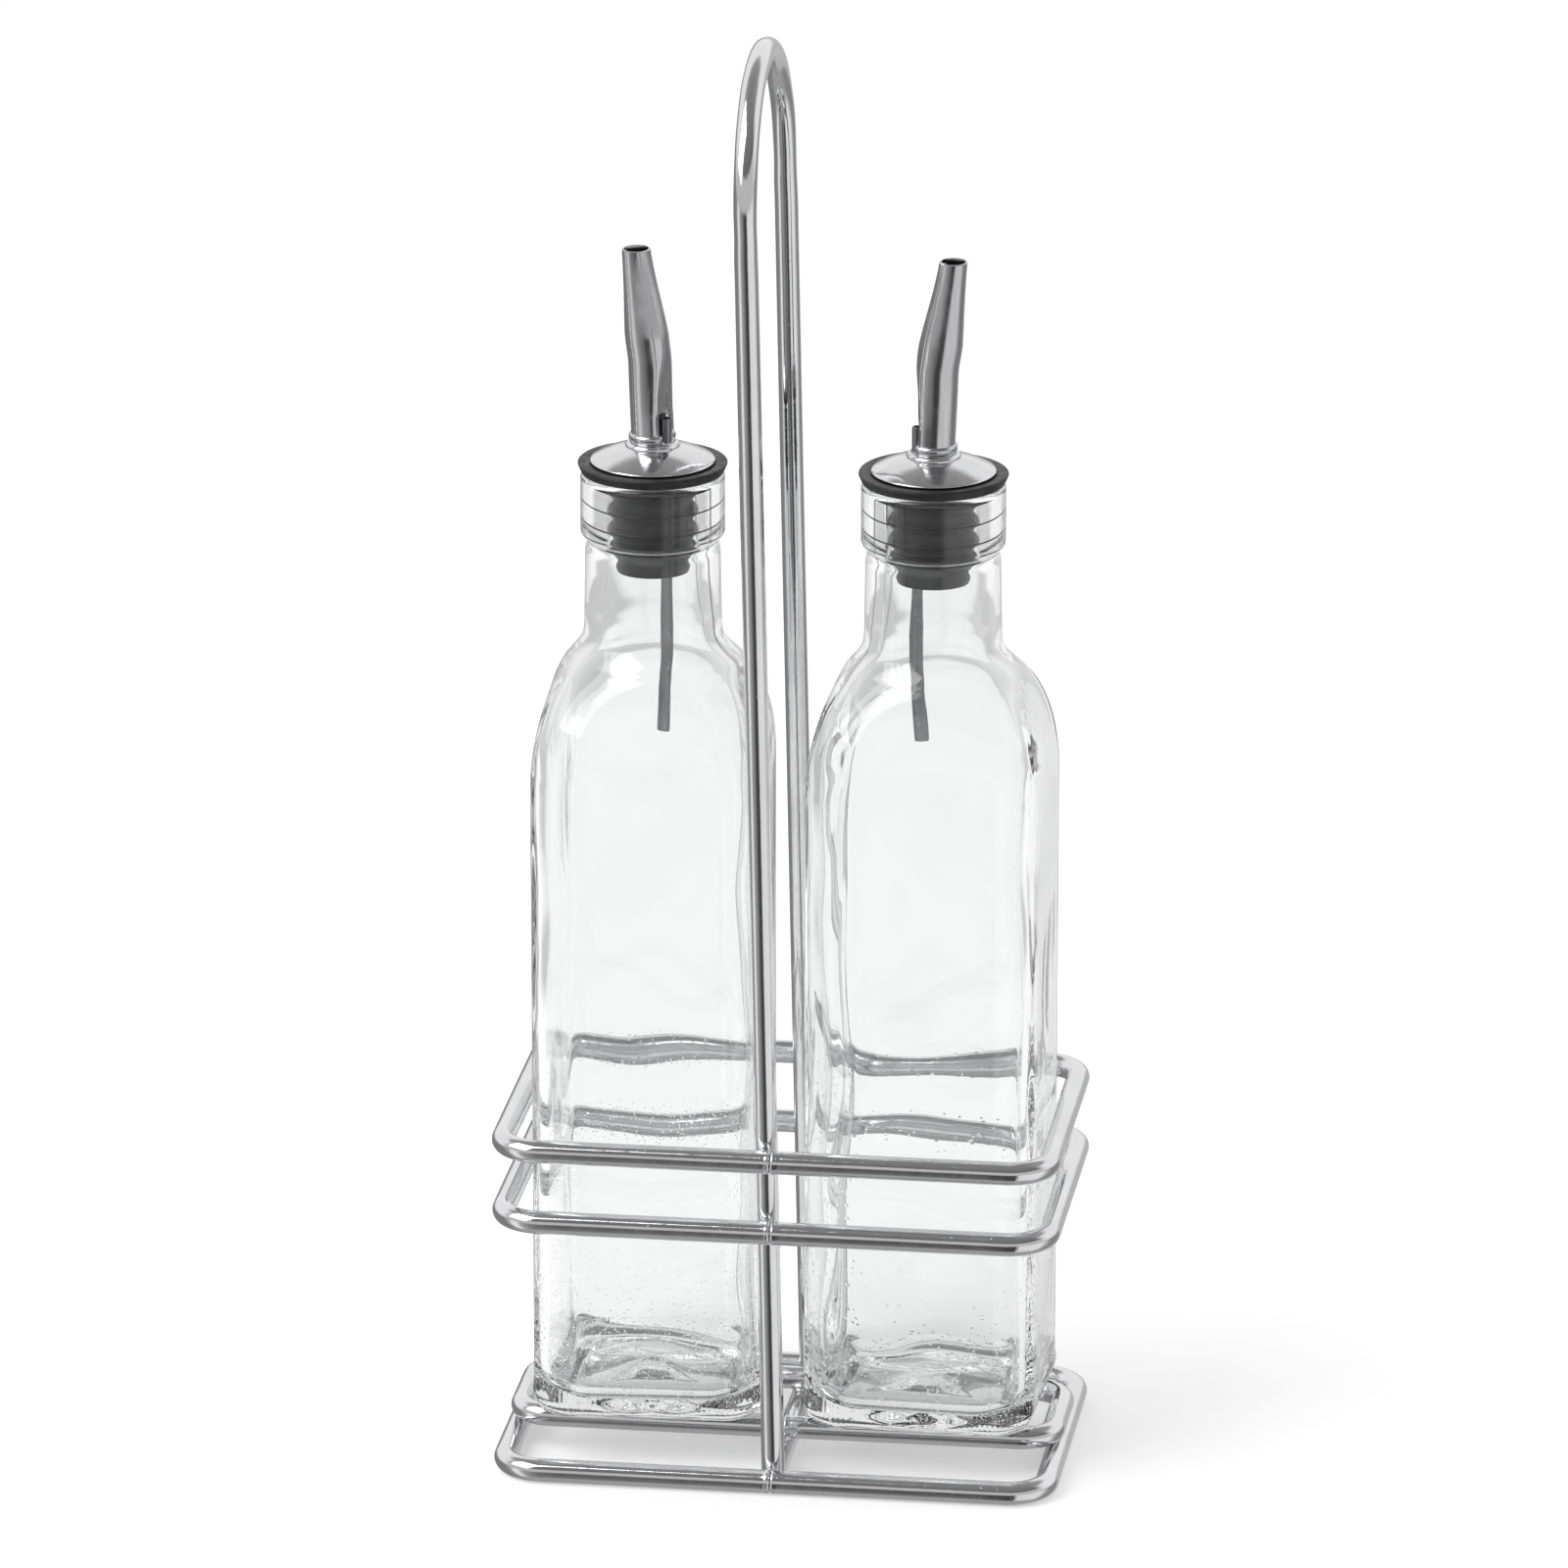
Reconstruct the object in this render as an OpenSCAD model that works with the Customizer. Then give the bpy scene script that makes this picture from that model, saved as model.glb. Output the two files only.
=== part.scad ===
// Two-bottle oil and vinegar cruet set.
// A chrome wire rack with a hairpin handle carries two square glass bottles, each closed
// by a bar-type pourer: ribbed rubber stopper, domed steel cap, bent spout and air tube.
// Millimetres, +Z up. The origin is on the table under the middle of the rack,
// +X runs along the rack's length and +Y to its rear.

/* [Wire rack] */
// Thickness of every wire
wire_d = 4.7; // [4.4:0.1:5]
// Length of the rings between wire centres, left to right
rack_w = 110; // [109:0.5:116]
// Depth of the rings between wire centres, front to back
rack_d = 66; // [66:0.5:70]
// Bend radius of the ring corners, at the wire's centre
ring_corner_r = 8; // [6:0.5:12]
// Height of the lower guard ring
lower_guard_z = 55.5; // [40:0.5:60]
// Height of the upper guard ring
upper_guard_z = 70.5; // [66:0.5:80]
// Shelf loop depth between wire centres
shelf_d = 27.6; // [26:0.1:32]
// Shelf loop length between wire centres
shelf_w = 108.6; // [108:0.2:109.4]
// Bend radius of the shelf loop corners
shelf_corner_r = 6.5; // [5:0.5:9]
// How far welded wires sink into each other
weld_bite = 0.2; // [0.1:0.05:0.4]
// Radius of a weld bead
bead_r = 1.5; // [1.2:0.1:1.7]

/* [Handle] */
// Overall height of the set, to the top of the handle
handle_h = 292; // [285:1:320]
// Sideways lean of the hand-welded handle, in degrees
handle_lean = 1.2; // [0:0.1:1.3]

/* [Bottles] */
// Width of a bottle across its flat sides
bottle_w = 47; // [45:0.5:47]
// Height of a bottle
bottle_h = 194; // [188:1:196]
// Radius of the upright edges
edge_r = 8.4; // [7:0.1:10]
// Glass thickness of the sides
glass_t = 3.2; // [2.5:0.1:3.4]
// Glass thickness of the base
base_t = 3.6; // [3.2:0.2:7]
// Distance of each bottle's axis from the middle of the rack
bottle_x = 28.1; // [27.9:0.1:28.2]
// Turn of the left and right bottle about its own axis, in degrees
bottle_turn = [3, -2]; // [-3:1:3]
// Outside radius of the neck
neck_r = 13.5; // [13.2:0.1:13.8]
// Radius of the band round the mouth
band_r = 14.4; // [14.2:0.1:14.7]
// Height of the band round the mouth
band_h = 13.5; // [12:0.5:15]
// Bore radius at the mouth, where the stopper seals
mouth_r = 9.2; // [9:0.05:9.4]

/* [Pourers] */
// Direction of the air tube from the axis of the left and right pourer, in degrees
pourer_turn = [-25, 188]; // [-180:1:360]
// Radius of the stopper flange
flange_r = 14.9; // [14.7:0.1:15.2]
// Thickness of the stopper flange
flange_t = 2; // [1.6:0.1:2.4]
// Length of the ribbed plug
plug_h = 20; // [18:0.5:22]
// Number of sealing ribs
rib_count = 4; // [3:1:4]
// Radius of the domed cap
dome_r = 12.45; // [12:0.05:12.6]
// Outside radius of the spout
spout_r = 4.3; // [4.2:0.05:4.4]
// Outside radius of the spout at its tip
tip_r = 2.9; // [2.6:0.05:3.2]
// Wall thickness of the spout
spout_t = 0.6; // [0.5:0.05:0.7]
// Lean of the straight part of the spout away from the air tube, in degrees
spout_lean = 1.5; // [0:0.5:3]
// Lean of the tapered tip away from the air tube, in degrees
tip_lean = 7; // [4:0.5:12]
// Outside radius of the air tube
tube_r = 1.1; // [1:0.05:1.15]
// Length of the air tube below the bottle's mouth
tube_drop = 53; // [40:1:55]

/* [Hidden] */
$fn = 64;
SMALL = 32;
CHROME = [0.80, 0.81, 0.83];
STEEL = [0.70, 0.71, 0.72];
RUBBER = [0.14, 0.14, 0.15];
GLASS = [0.84, 0.90, 0.90, 0.45];

// Rack heights and positions
wire_r = wire_d / 2;
base_z = wire_r;
shelf_z = base_z + wire_d - weld_bite;
leg_y = rack_d / 2 - wire_d + weld_bite;
leg_foot = 0.3;
arch_z = handle_h - wire_r - leg_y;
weld_y = leg_y + wire_r - weld_bite / 2;
shelf_weld_y = shelf_d / 2 - shelf_corner_r;

// Bottle form: the shoulder is an arc that starts at shoulder_z
rest_gap = 0.1;
bottle_z = shelf_z + wire_r + rest_gap;
half_w = bottle_w / 2;
shoulder_drop = 63;
shoulder_z = bottle_h - shoulder_drop;
shoulder_r = 56;
corner_reach = (half_w - edge_r) * sqrt(2) + edge_r;
corner_rise = 3;
corner_z = shoulder_z + corner_rise;
corner_arc_r = 26;
heel_r = 4.5;
inner_heel_r = 6;
inner_edge_r = 6;
neck_rise = 25.8;
neck_foot_z = shoulder_z + neck_rise;
flare_r = 5.5;
flare_angle = 60;
neck_bore_r = 10;
neck_bore_drop = 5;
mouth_bore_h = 22;
bore_cone_h = 1.5;
punt_r = 60;
punt_h = 2.5;
floor_bump_r = 80;
floor_bump_h = 2.4;
band_top_r = 1.2;
band_foot_r = 1.8;
overrun = 1;

// Pourer heights, measured from the bottle's mouth
seat_gap = 0.1;
cap_gap = 0.08;
fit_gap = 0.05;
seat_z = bottle_z + bottle_h + seat_gap;
cap_z = flange_t + cap_gap;
dome_h = 2.9;
dome_edge = 0.4;
dome_sphere_r = 25;
dome_t = 0.8;
collar_r = 5.15;
collar_bead_r = 1;
collar_rise = 3.15;
collar_z = cap_z + collar_rise;
throat_r = 4.45;
throat_bore_r = 3.6;
throat_rise = 3.2;
spout_foot_z = collar_z + throat_rise;
spout_bead_r = 0.95;
spout_bead_out = 0.2;
spout_bead_drop = 1.15;
ferrule_r = 5.2;
ferrule_bore_r = 4.6;
ledge_t = 1;
ledge_bore_r = 3.5;
ferrule_end = 0.6;
bend_z = 28;
bend_r = 30;
tip_len = 14;
elbow_step = 0.03;
tube_x = 3.25;
tube_bore_r = 0.75;
tube_top = 11.3;
tube_hole_gap = 0.02;
crook_len = 14;
crook_lean = 5;
crook_r = 12;
groove_gap = 0.3;
groove_clear = 0.1;
groove_z = collar_z + collar_bead_r + groove_clear;
groove_h = 14;
groove_lean = 8;
rib_r = mouth_r - fit_gap;
rib_h = 2.2;
rib_land = 0.8;
rib_drop = 0.6;
flange_draft = 0.6;
plug_r = 7.9;
plug_end_r = 7.2;
plug_taper = 2;
plug_bore_r = ferrule_r + fit_gap;

// ---------- wire rack ----------

// A closed rectangular wire loop with bent corners, centred on the origin
module wire_loop(w, d, corner_r) {
    long_run = w - 2 * corner_r;
    short_run = d - 2 * corner_r;
    for (side = [-1, 1]) {
        translate([-long_run / 2, side * d / 2, 0]) rotate([0, 90, 0]) cylinder(r = wire_r, h = long_run);
        translate([side * w / 2, -short_run / 2, 0]) rotate([-90, 0, 0]) cylinder(r = wire_r, h = short_run);
    }
    for (quarter = [0:3]) {
        turn = quarter * 90;
        x = (quarter == 0 || quarter == 3) ? long_run / 2 : -long_run / 2;
        y = quarter < 2 ? short_run / 2 : -short_run / 2;
        translate([x, y, 0]) rotate([0, 0, turn])
            rotate_extrude(angle = 90) translate([corner_r, 0]) circle(r = wire_r);
    }
}

module base_ring() {
    color(CHROME) translate([0, 0, base_z]) wire_loop(rack_w, rack_d, ring_corner_r);
}

// The loop the bottles stand on, welded on top of the base ring
module shelf_ring() {
    color(CHROME) translate([0, 0, shelf_z]) wire_loop(shelf_w, shelf_d, shelf_corner_r);
}

module lower_guard_ring() {
    color(CHROME) translate([0, 0, lower_guard_z]) wire_loop(rack_w, rack_d, ring_corner_r);
}

module upper_guard_ring() {
    color(CHROME) translate([0, 0, upper_guard_z]) wire_loop(rack_w, rack_d, ring_corner_r);
}

// Hairpin handle: two legs inside the rings, front and back, and a half-round arch
module carry_handle() {
    color(CHROME) rotate([0, -handle_lean, 0]) {
        for (side = [-1, 1])
            translate([0, side * leg_y, leg_foot]) cylinder(r = wire_r, h = arch_z - leg_foot);
        translate([0, 0, arch_z]) rotate([90, 0, 90])
            rotate_extrude(angle = 180) translate([leg_y, 0]) circle(r = wire_r);
    }
}

// Straight wire under the shelf loop, from the front leg to the back leg
module cross_bar() {
    reach = leg_y - wire_r + weld_bite;
    color(CHROME) translate([0, -reach, base_z]) rotate([-90, 0, 0]) cylinder(r = wire_r, h = 2 * reach);
}

function lean_x(z) = -z * sin(handle_lean);

module weld_beads() {
    color(CHROME) for (side = [-1, 1]) {
        for (z = [base_z, lower_guard_z, upper_guard_z])
            translate([lean_x(z), side * weld_y, z]) sphere(r = bead_r, $fn = SMALL);
        translate([0, side * (leg_y - wire_r), base_z + wire_r / 2]) sphere(r = bead_r, $fn = SMALL);
        translate([0, side * shelf_d / 2, base_z + wire_r]) sphere(r = bead_r, $fn = SMALL);
        for (end = [-1, 1])
            translate([end * (rack_w + shelf_w) / 4, side * shelf_weld_y, base_z + wire_r])
                sphere(r = bead_r, $fn = SMALL);
    }
}

// ---------- bottles ----------

// Side view of the body: straight sides on rounded heels, then two shoulder arcs that lean in.
// inset is the distance inside the outer surface, foot the height of the underside.
module body_outline(inset, foot, heel) {
    half = half_w - inset;
    arc = shoulder_r - inset;
    translate([-half, foot + heel]) square([2 * half, shoulder_z - foot - heel]);
    translate([heel - half, foot]) square([2 * (half - heel), heel]);
    for (side = [-1, 1])
        translate([side * (half - heel), foot + heel]) circle(r = heel);
    intersection() {
        translate([half - arc, shoulder_z]) circle(r = arc);
        translate([arc - half, shoulder_z]) circle(r = arc);
        translate([-half, shoulder_z]) square([2 * half, arc]);
    }
}

// Half section that rounds the four upright corners at the heel and at the shoulder
module corner_section(inset, foot, heel) {
    reach = corner_reach - inset;
    arc = corner_arc_r - inset;
    translate([0, foot]) square([reach - heel, heel]);
    translate([0, foot + heel]) square([reach, corner_z - foot - heel]);
    translate([reach - heel, foot + heel]) circle(r = heel);
    intersection() {
        translate([reach - arc, corner_z]) circle(r = arc);
        translate([0, corner_z]) square([reach, arc]);
    }
    translate([0, corner_z]) square([reach - arc, arc]);
}

module rounded_square(half, r) {
    square([2 * half, 2 * (half - r)], center = true);
    square([2 * (half - r), 2 * half], center = true);
    for (x = [-1, 1], y = [-1, 1])
        translate([x * (half - r), y * (half - r)]) circle(r = r);
}

// The square body with its shoulders, solid
module body_form(inset, foot, heel, r) {
    intersection() {
        linear_extrude(height = bottle_h) rounded_square(half_w - inset, r);
        rotate([90, 0, 0]) linear_extrude(height = bottle_w, center = true) body_outline(inset, foot, heel);
        rotate([90, 0, 90]) linear_extrude(height = bottle_w, center = true) body_outline(inset, foot, heel);
        rotate_extrude() corner_section(inset, foot, heel);
    }
}

// Neck with its flare into the shoulder and the band round the mouth
module neck_form() {
    flare_h = flare_r * sin(flare_angle);
    flare_foot_r = neck_r + flare_r * (1 - cos(flare_angle));
    band_z = bottle_h - band_h;
    rotate_extrude() {
        translate([0, neck_foot_z]) square([neck_r, band_z - neck_foot_z + band_foot_r]);
        difference() {
            translate([0, neck_foot_z]) square([flare_foot_r, flare_h]);
            translate([neck_r + flare_r, neck_foot_z + flare_h]) circle(r = flare_r);
        }
        translate([0, band_z]) square([band_r - band_foot_r, band_h]);
        translate([0, band_z + band_foot_r]) square([band_r, band_h - band_foot_r - band_top_r]);
        translate([band_r - band_foot_r, band_z + band_foot_r]) circle(r = band_foot_r);
        translate([band_r - band_top_r, bottle_h - band_top_r]) circle(r = band_top_r);
    }
}

module bottle() {
    bore_z = bottle_h - mouth_bore_h;
    bore_foot_z = neck_foot_z - neck_bore_drop;
    difference() {
        union() {
            body_form(0, 0, heel_r, edge_r);
            neck_form();
        }
        difference() {
            body_form(glass_t, base_t, inner_heel_r, inner_edge_r);
            translate([0, 0, base_t + floor_bump_h - floor_bump_r]) sphere(r = floor_bump_r);
        }
        translate([0, 0, bore_foot_z]) cylinder(r = neck_bore_r, h = bore_z - bore_foot_z);
        translate([0, 0, bore_z]) cylinder(r1 = neck_bore_r, r2 = mouth_r, h = bore_cone_h);
        translate([0, 0, bore_z + bore_cone_h]) cylinder(r = mouth_r, h = mouth_bore_h);
        translate([0, 0, punt_h - punt_r]) sphere(r = punt_r);
    }
}

module bottle_left() {
    color(GLASS) translate([-bottle_x, 0, bottle_z]) rotate([0, 0, bottle_turn[0]]) bottle();
}

module bottle_right() {
    color(GLASS) translate([bottle_x, 0, bottle_z]) rotate([0, 0, bottle_turn[1]]) bottle();
}

// ---------- pourers, each drawn with the bottle's mouth at z = 0 and the air tube towards +X ----------

module stopper() {
    rib_pitch = (plug_h - plug_taper - flange_t) / rib_count;
    difference() {
        union() {
            cylinder(r1 = flange_r - flange_draft, r2 = flange_r, h = flange_t);
            translate([0, 0, plug_taper - plug_h]) cylinder(r = plug_r, h = plug_h - plug_taper);
            translate([0, 0, -plug_h]) cylinder(r1 = plug_end_r, r2 = plug_r, h = plug_taper);
            for (i = [1:rib_count])
                translate([0, 0, -i * rib_pitch - rib_drop]) {
                    cylinder(r1 = plug_r, r2 = rib_r, h = rib_h - rib_land);
                    translate([0, 0, rib_h - rib_land]) cylinder(r = rib_r, h = rib_land);
                }
        }
        translate([0, 0, -plug_h - overrun]) cylinder(r = plug_bore_r, h = plug_h + flange_t + 2 * overrun);
    }
}

// Thin pressed dome with a rolled collar at its middle
module dome_cap() {
    sphere_z = cap_z + dome_edge - sqrt(pow(dome_sphere_r, 2) - pow(dome_r, 2));
    difference() {
        union() {
            intersection() {
                translate([0, 0, sphere_z]) sphere(r = dome_sphere_r, $fn = 128);
                translate([0, 0, cap_z]) cylinder(r = dome_r, h = dome_h + overrun);
            }
            translate([0, 0, collar_z]) rotate_extrude()
                translate([collar_r - collar_bead_r, 0]) circle(r = collar_bead_r, $fn = SMALL);
        }
        intersection() {
            translate([0, 0, sphere_z - dome_t]) sphere(r = dome_sphere_r, $fn = 128);
            translate([0, 0, cap_z - overrun]) cylinder(r = dome_r - dome_t, h = dome_h + overrun);
        }
        translate([0, 0, cap_z - overrun]) cylinder(r = throat_r + tube_hole_gap, h = 3 * dome_h);
    }
}

// The spout's straight stretch, bend and tapered tip, solid; inset is the depth below its surface
module spout_form(inset) {
    straight = bend_z - spout_foot_z;
    bend = tip_lean - spout_lean;
    r = spout_r - inset;
    translate([0, 0, spout_foot_z]) rotate([0, -spout_lean, 0]) {
        cylinder(r = r, h = straight);
        translate([-bend_r, 0, straight]) {
            rotate([90, 0, 0]) rotate_extrude(angle = bend) translate([bend_r, 0]) circle(r = r);
            rotate([0, -bend, 0]) translate([bend_r, 0, -elbow_step])
                cylinder(r1 = r + elbow_step, r2 = tip_r - inset, h = tip_len + elbow_step);
        }
    }
}

// Pinched channel in which the end of the air tube stands; it leans out and fades upwards
module groove(r, foot) {
    translate([tube_x, 0, foot]) rotate([0, groove_lean, 0]) cylinder(r = r, h = groove_h);
    translate([tube_x, 0, foot]) cylinder(r = r, h = tube_top - foot);
}

module spout() {
    end_z = ferrule_end - plug_h;
    flange_top = cap_z - cap_gap;
    groove_r = tube_r + groove_gap;
    difference() {
        union() {
            spout_form(0);
            translate([0, 0, end_z]) cylinder(r = ferrule_r, h = flange_top - end_z);
            translate([0, 0, flange_top]) cylinder(r = throat_r, h = spout_foot_z - flange_top);
            translate([0, 0, spout_foot_z - spout_bead_drop]) rotate_extrude()
                translate([throat_r + spout_bead_out - spout_bead_r, 0]) circle(r = spout_bead_r, $fn = SMALL);
        }
        groove(groove_r, groove_z);
        difference() {
            union() {
                spout_form(spout_t);
                translate([0, 0, flange_top])
                    cylinder(r = throat_bore_r, h = spout_foot_z - flange_top + elbow_step);
            }
            groove(groove_r + spout_t, groove_z - spout_t);
        }
        translate([0, 0, end_z - overrun])
            cylinder(r = ferrule_bore_r, h = flange_top - ledge_t - end_z + overrun);
        translate([0, 0, flange_top - 2 * ledge_t]) cylinder(r = ledge_bore_r, h = 2.5 * ledge_t);
        translate([tube_x, 0, -overrun]) cylinder(r = tube_r + tube_hole_gap, h = groove_z + 2 * overrun);
    }
}

// The air tube's run: straight, then a small crook towards the axis near its lower end
module air_tube_form(r, over) {
    crook_z = crook_len - tube_drop;
    translate([tube_x, 0, crook_z]) cylinder(r = r, h = tube_top - crook_z + over);
    translate([tube_x - crook_r, 0, crook_z]) {
        rotate([-90, 0, 0]) rotate_extrude(angle = crook_lean) translate([crook_r, 0]) circle(r = r);
        rotate([0, crook_lean, 0]) translate([crook_r, 0, -crook_len - over])
            cylinder(r = r + elbow_step, h = crook_len + over + elbow_step);
    }
}

// Thin tube open at both ends
module air_tube() {
    difference() {
        air_tube_form(tube_r, 0);
        air_tube_form(tube_bore_r, overrun);
    }
}

module place_left() {
    translate([-bottle_x, 0, seat_z]) rotate([0, 0, pourer_turn[0]]) children();
}

module place_right() {
    translate([bottle_x, 0, seat_z]) rotate([0, 0, pourer_turn[1]]) children();
}

module stopper_left() { color(RUBBER) place_left() stopper(); }
module stopper_right() { color(RUBBER) place_right() stopper(); }
module dome_cap_left() { color(STEEL) place_left() dome_cap(); }
module dome_cap_right() { color(STEEL) place_right() dome_cap(); }
module spout_left() { color(STEEL) place_left() spout(); }
module spout_right() { color(STEEL) place_right() spout(); }
module air_tube_left() { color(STEEL) place_left() air_tube(); }
module air_tube_right() { color(STEEL) place_right() air_tube(); }

base_ring();
shelf_ring();
lower_guard_ring();
upper_guard_ring();
carry_handle();
cross_bar();
weld_beads();
bottle_left();
bottle_right();
stopper_left();
stopper_right();
dome_cap_left();
dome_cap_right();
spout_left();
spout_right();
air_tube_left();
air_tube_right();
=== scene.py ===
"""Looks of a two-bottle cruet set: chromed wire rack, square glass bottles and bar-type pourers.

Everything is in metres in the frame of the CAD model: +X to the rack's right, +Y to its rear and
+Z up.
"""

import math
import random

import bpy
import numpy as np
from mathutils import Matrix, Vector


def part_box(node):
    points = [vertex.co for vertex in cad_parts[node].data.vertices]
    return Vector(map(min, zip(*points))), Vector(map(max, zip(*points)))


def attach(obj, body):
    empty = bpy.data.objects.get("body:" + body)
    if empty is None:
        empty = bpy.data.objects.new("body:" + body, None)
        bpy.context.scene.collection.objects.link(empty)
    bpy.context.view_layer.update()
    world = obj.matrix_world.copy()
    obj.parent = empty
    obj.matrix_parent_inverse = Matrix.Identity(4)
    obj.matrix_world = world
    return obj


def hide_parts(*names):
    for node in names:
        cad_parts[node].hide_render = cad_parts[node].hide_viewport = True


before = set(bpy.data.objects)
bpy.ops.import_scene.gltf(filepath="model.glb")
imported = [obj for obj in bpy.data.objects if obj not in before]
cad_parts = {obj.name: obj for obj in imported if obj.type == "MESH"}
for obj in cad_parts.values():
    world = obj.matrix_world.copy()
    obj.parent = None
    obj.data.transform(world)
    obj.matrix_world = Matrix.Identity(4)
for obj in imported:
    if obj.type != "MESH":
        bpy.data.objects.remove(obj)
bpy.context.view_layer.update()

MM = 0.001
SIDES = ("left", "right")

# ---------- sizes read from the frame ----------


def corners(node):
    """Lowest and highest corner of a CAD node, as arrays."""
    low, high = (np.array(corner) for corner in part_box(node))
    return low, high


def height(node):
    low, high = corners(node)
    return (high - low)[2]


WIRE_R = height("base_ring") / 2
RING_BEND = 8 * MM
SHELF_BEND = 6.5 * MM

HANDLE_LOW, HANDLE_HIGH = corners("carry_handle")
LEG_Y = HANDLE_HIGH[1] - WIRE_R
LEAN = math.asin((-HANDLE_LOW[0] - WIRE_R) / (HANDLE_HIGH[2] - WIRE_R))

# Turns about the vertical. The air tube stands at TUBE_TURN from +X, and the spout's seam at
# SEAM_ANGLE from the air tube.
BOTTLE_TURN = {"left": math.radians(3), "right": math.radians(-2)}
TUBE_TURN = {"left": math.radians(-25), "right": math.radians(188)}
SEAM_ANGLE = {"left": math.radians(-109), "right": math.radians(43)}

BOTTLE_HALF = 23.5 * MM
BOTTLE_LOW_Z = {side: corners("bottle_" + side)[0][2] for side in SIDES}
BOTTLE_H = height("bottle_left")
AXIS_X = {side: sum(c[0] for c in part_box("stopper_" + side)) / 2 for side in SIDES}

# The flange lies on the bottle's mouth at SEAT_Z. The pourer's other heights go from there.
FLANGE_T = 2 * MM
SEAT_Z = corners("stopper_left")[1][2] - FLANGE_T
PLUG_H = height("stopper_left") - FLANGE_T
CAP_Z = corners("dome_cap_left")[0][2] - SEAT_Z
TUBE_TOP = corners("air_tube_left")[1][2] - SEAT_Z
TUBE_LOW = corners("air_tube_left")[0][2] - SEAT_Z
TIP_TOP = corners("spout_left")[1][2] - SEAT_Z

# ---------- small helpers ----------

SMOOTH_BELOW = math.radians(42)  # edges sharper than this stay sharp


def smoothstep(x):
    """Eases from 0 to 1 as x goes from 0 to 1."""
    x = np.clip(x, 0, 1)
    return x * x * (3 - 2 * x)


def soft_min(a, b, k):
    """The lesser of a and b with a fillet about k wide where they cross."""
    h = np.maximum(k - np.abs(a - b), 0) / k
    return np.minimum(a, b) - h * h * k / 4


def soft_max(a, b, k):
    return -soft_min(-a, -b, k)


def mesh_object(name, verts, faces, material, body, replaces):
    """Makes a smooth-shaded mesh that rides a body, and hides the CAD nodes it stands for."""
    mesh = bpy.data.meshes.new(name)
    mesh.from_pydata([tuple(v) for v in verts], [], faces)
    mesh.validate()
    mesh.polygons.foreach_set("use_smooth", [True] * len(mesh.polygons))
    mesh.set_sharp_from_angle(angle=SMOOTH_BELOW)
    mesh.materials.append(material)
    piece = bpy.data.objects.new(name, mesh)
    bpy.context.scene.collection.objects.link(piece)
    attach(piece, body)
    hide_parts(*replaces)
    return piece


def skin(rows, start_pole=None, end_pole=None, wrap=False):
    """Quads between rows of points that run round an axis.

    Poles close the ends; wrap joins the last row to the first.
    """
    count = len(rows[0])
    verts = [point for row in rows for point in row]
    faces = []
    for i in range(len(rows) - (0 if wrap else 1)):
        a = i * count
        b = ((i + 1) % len(rows)) * count
        faces += [(a + j, a + (j + 1) % count, b + (j + 1) % count, b + j) for j in range(count)]
    if start_pole is not None:
        verts.append(start_pole)
        faces += [(len(verts) - 1, (j + 1) % count, j) for j in range(count)]
    if end_pole is not None:
        base = (len(rows) - 1) * count
        verts.append(end_pole)
        faces += [(len(verts) - 1, base + j, base + (j + 1) % count) for j in range(count)]
    return verts, faces


def join(parts):
    """Joins several (verts, faces) pairs into one."""
    verts, faces = [], []
    for part_verts, part_faces in parts:
        base = len(verts)
        verts += list(part_verts)
        faces += [tuple(base + i for i in face) for face in part_faces]
    return verts, faces


def place(points, x, z, turn):
    """Turns points about the vertical and moves them to x, z."""
    points = np.asarray(points, float)
    c, s = math.cos(turn), math.sin(turn)
    return np.stack([points[:, 0] * c - points[:, 1] * s + x,
                     points[:, 0] * s + points[:, 1] * c,
                     points[:, 2] + z], axis=1)


def arc(cx, cz, r, start, end, count):
    """Points of a circular arc in a profile; angles in degrees from the outward direction."""
    return [(cx + r * math.cos(math.radians(a)), cz + r * math.sin(math.radians(a)))
            for a in np.linspace(start, end, count)]


# ---------- materials ----------


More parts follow.
